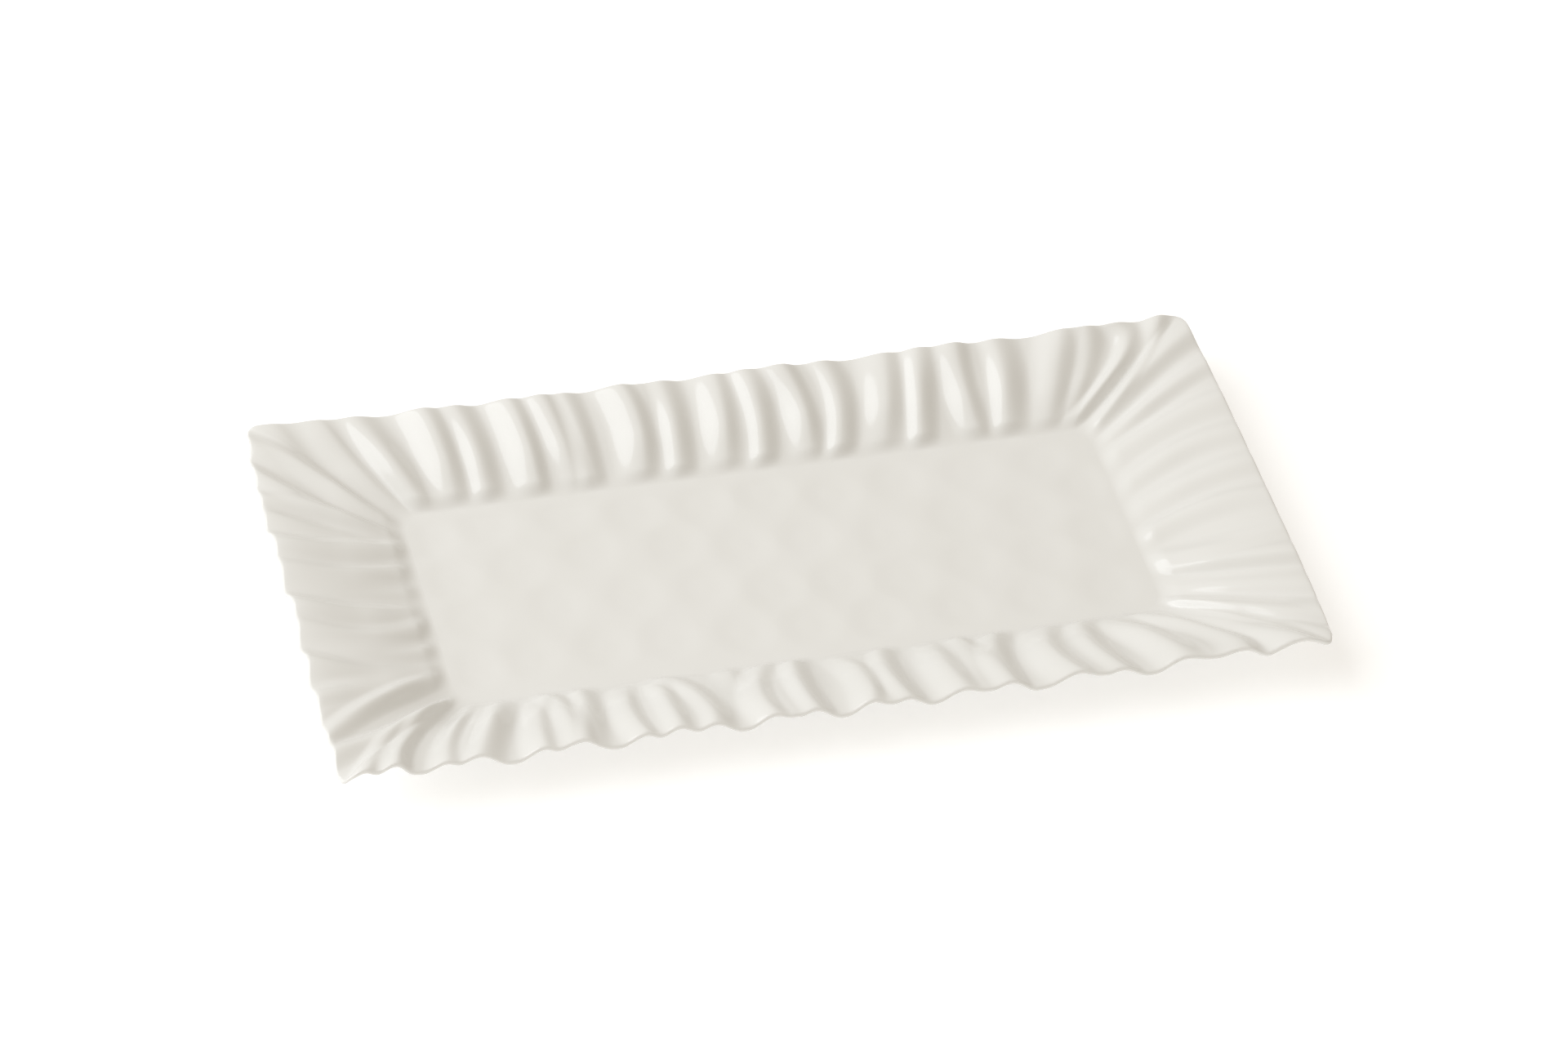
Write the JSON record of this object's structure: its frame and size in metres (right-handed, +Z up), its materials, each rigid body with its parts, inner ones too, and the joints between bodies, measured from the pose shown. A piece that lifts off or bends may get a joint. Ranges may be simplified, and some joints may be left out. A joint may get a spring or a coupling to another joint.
{
  "type": "serving platter",
  "caption": "Rectangular white china serving platter with a flat well, a wide pleated rim with a wavy lip, and a foot ring.",
  "frame": {"origin": "centre of the foot ring's underside, on the surface that the platter stands on", "axes": "+X along the platter's length, +Y along its width to the back, +Z up out of the well"},
  "size_m": [0.4022, 0.1954, 0.0272],
  "materials": {
    "glaze": "gloss",
    "bare_china": "matte"
  },
  "bodies": {
    "root": {"well": "glaze", "rim": "glaze", "foot_ring": "bare_china"}
  },
  "joints": []
}
